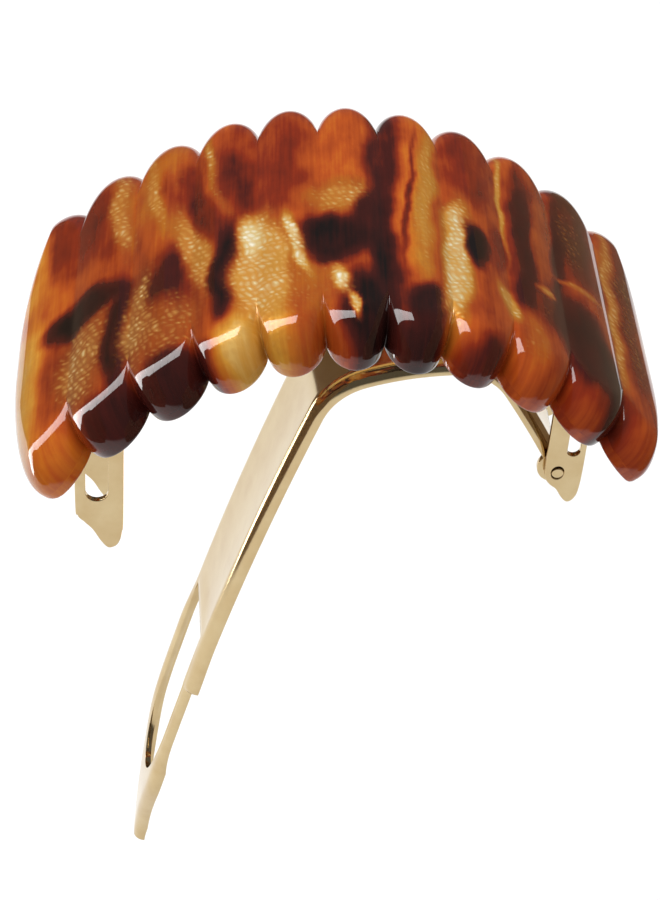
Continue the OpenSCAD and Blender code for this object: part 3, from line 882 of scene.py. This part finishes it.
def makeLugs():
    # round heels of the flanges with the pivot lugs on them
    heel = [ringLoop(*hingePoint, arm["heel"], arm["heel"], 40)]
    lug = [ringLoop(*hingePoint, arm["lug"], arm["lug"])]
    flange, lugMid = (arm["wide"] - arm["thick"]) / 2, arm["wide"] / 2 + arm["lugOut"]
    parts = []
    for side in (-1, 1):
        parts.append(cutTab(f"heel{side}", side * flange, arm["thick"], heel, plateMat))
        parts.append(cutTab(f"lug{side}", side * lugMid, arm["lugLong"], lug, plateMat, 0.1))
    return parts


def makeClaspArm():
    obj = joinPieces("claspArm", [makeArm()] + makeLugs())
    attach(obj, "arm")
    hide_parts("clasp_arm")


makeClaspArm()
print("clasp arm ready")


studio = {
    "floorDrop": 0.165, "floorSize": 6.0, "world": "#FFFFFF", "worldStrength": 0.12,
    # place, aim, width, height, watts: large boxes that only soften the shade
    "boxes": {
        "topSoftbox": ((-0.1, 0.35, 0.85), (0, 0.05, -0.1), 1.2, 1.0, 14.0),
        "frontSoftbox": ((-0.25, -0.7, 0.5), (0, 0, -0.05), 0.7, 0.6, 3.5),
    },
    # a bowed tube bank from overhead down past the left, which draws the thin line on the front shoulders
    "bank": {"from": -126.0, "to": -2.0, "pieces": 8, "away": 0.26, "back": 0.33, "wide": 0.075, "glow": 7.5},
    # brown cards at both sides, out of view, that deepen the folds of the metal and the flanks of the ribs
    "cards": {"x": (-0.25, 0.24), "y": (-0.4, 0.7), "z": (-0.16, 0.16)},
}


def makeFloor():
    half = studio["floorSize"] / 2
    z = -studio["floorDrop"]
    points = [(x, y, z) for y in (-half, half) for x in (-half, half)]
    obj = newPiece("floorBoard", points, [(0, 1, 3, 2)], boardMat)


def makeCards():
    # flocked card, dull and soft: it shows only as a warm brown tone in the gloss of the pieces
    cards = studio["cards"]
    mat, tree = newMaterial("brownFlockedCard")
    speck = addNode(tree, "ShaderNodeTexNoise", sockets={"Scale": 60.0})
    colour = addNode(tree, "ShaderNodeMix", {0: speck.outputs["Fac"]},
                     {6: hexColour("#8A7460"), 7: hexColour("#7C6650")}, data_type="RGBA")
    shader = addNode(tree, "ShaderNodeBsdfPrincipled", {"Base Color": colour.outputs[2]}, {"Roughness": 1.0})
    addNode(tree, "ShaderNodeOutputMaterial", {"Surface": shader.outputs[0]})
    points = [(x, y, z) for x in cards["x"] for y in cards["y"] for z in cards["z"]]
    obj = newPiece("brownCards", points, [(0, 1, 3, 2), (4, 5, 7, 6)], mat)
    obj.visible_camera = obj.visible_diffuse = obj.visible_shadow = False


def addLight(name, place, aim, wide, high, watts):
    data = bpy.data.lights.new(name, "AREA")
    data.shape = "RECTANGLE"
    data.size, data.size_y = wide, high
    data.energy = watts
    obj = bpy.data.objects.new(name, data)
    back = (Vector(place) - Vector(aim)).normalized()
    side = Vector((0, 1, 0)).cross(back).normalized()
    axes = Matrix((side, back.cross(side), back)).transposed()
    obj.matrix_world = Matrix.Translation(place) @ axes.to_4x4()
    bpy.context.collection.objects.link(obj)
    return obj


def makeLights():
    for name, (place, aim, wide, high, watts) in studio["boxes"].items():
        box = addLight(name, place, aim, wide, high, watts)
        box.visible_glossy = box.visible_camera = False
    bank = studio["bank"]
    step = (bank["to"] - bank["from"]) / bank["pieces"]
    reach = bank["away"] * math.sqrt(1 - bank["back"] ** 2)
    long = 2 * reach * math.tan(math.radians(step / 2))
    for i in range(bank["pieces"]):
        a = math.radians(bank["from"] + step * (i + 0.5))
        place = (reach * math.sin(a), bank["away"] * bank["back"], reach * math.cos(a))
        watts = bank["glow"] * math.pi * long * bank["wide"]
        tube = addLight(f"tube{i}", place, (0, 0, 0), long, bank["wide"], watts)
        tube.visible_diffuse = tube.visible_camera = False
    world = bpy.data.worlds.new("studioAir")
    world.use_nodes = True
    back = world.node_tree.nodes["Background"]
    back.inputs["Color"].default_value = hexColour(studio["world"])
    back.inputs["Strength"].default_value = studio["worldStrength"]
    bpy.context.scene.world = world
    bpy.context.scene.view_settings.view_transform = "Standard"


# angles in radians and distances in metres
view = {"turn": -0.123, "rise": 0.715, "tilt": 0.080, "away": 0.2957, "aim": (-0.0003, 0.0, -0.03336),
        "lens": 94.0}


def makeCamera():
    turn, rise, tilt = view["turn"], view["rise"], view["tilt"]
    ahead = Vector((-math.sin(turn) * math.cos(rise), math.cos(turn) * math.cos(rise), -math.sin(rise)))
    level = Vector((math.cos(turn), math.sin(turn), 0))
    upright = level.cross(ahead)
    right = math.cos(tilt) * level + math.sin(tilt) * upright
    up = math.cos(tilt) * upright - math.sin(tilt) * level
    data = bpy.data.cameras.new("productCamera")
    data.lens = view["lens"]
    data.sensor_width = 36
    data.clip_start = 0.01
    data.clip_end = 20
    obj = bpy.data.objects.new("productCamera", data)
    axes = Matrix((right, up, -ahead)).transposed()
    obj.matrix_world = Matrix.Translation(Vector(view["aim"]) - ahead * view["away"]) @ axes.to_4x4()
    bpy.context.collection.objects.link(obj)
    bpy.context.scene.camera = obj


makeFloor()
makeCards()
makeLights()
makeCamera()
print("studio ready")
